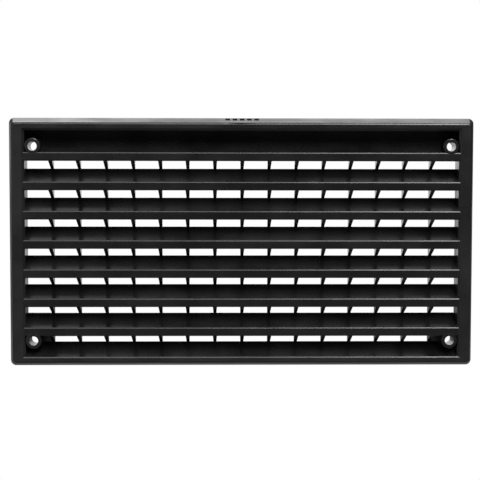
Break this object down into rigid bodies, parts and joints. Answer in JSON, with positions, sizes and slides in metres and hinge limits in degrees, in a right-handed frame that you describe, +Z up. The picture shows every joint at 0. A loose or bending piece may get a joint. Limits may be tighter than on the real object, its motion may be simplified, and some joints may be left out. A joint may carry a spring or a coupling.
{
  "type": "louvred air grille",
  "caption": "Rectangular surface-mounted wall grille with fixed sloping louvres, upright divider ribs and corner screw bosses in a flared frame.",
  "frame": {"origin": "centre of the four fixing holes, on the plane of the wall behind the grille", "axes": "+Y points into the wall, so the grille faces -Y; +X runs along the louvres to the right as seen from the front; +Z is up"},
  "size_m": [0.2582, 0.012, 0.138],
  "materials": {
    "frame_plastic": "satin black moulded plastic",
    "blade_plastic": "satin black moulded plastic"
  },
  "bodies": {
    "root": {"frame": "frame_plastic", "louvre_blade_1": "blade_plastic", "louvre_blade_2": "blade_plastic", "louvre_blade_3": "blade_plastic", "louvre_blade_4": "blade_plastic", "louvre_blade_5": "blade_plastic", "louvre_blade_6": "blade_plastic", "louvre_blade_7": "blade_plastic", "sill_blade": "blade_plastic", "top_back_panel": "blade_plastic", "divider_rib_01": "blade_plastic", "divider_rib_02": "blade_plastic", "divider_rib_03": "blade_plastic", "divider_rib_04": "blade_plastic", "divider_rib_05": "blade_plastic", "divider_rib_06": "blade_plastic", "divider_rib_07": "blade_plastic", "divider_rib_08": "blade_plastic", "divider_rib_09": "blade_plastic", "divider_rib_10": "blade_plastic", "divider_rib_11": "blade_plastic", "divider_rib_12": "blade_plastic", "divider_rib_13": "blade_plastic", "divider_rib_14": "blade_plastic", "divider_rib_15": "blade_plastic", "corner_panel_left": "blade_plastic", "corner_panel_right": "blade_plastic", "screw_boss_top_left": "blade_plastic", "screw_boss_top_right": "blade_plastic", "screw_boss_bottom_left": "blade_plastic", "screw_boss_bottom_right": "blade_plastic"}
  },
  "joints": []
}
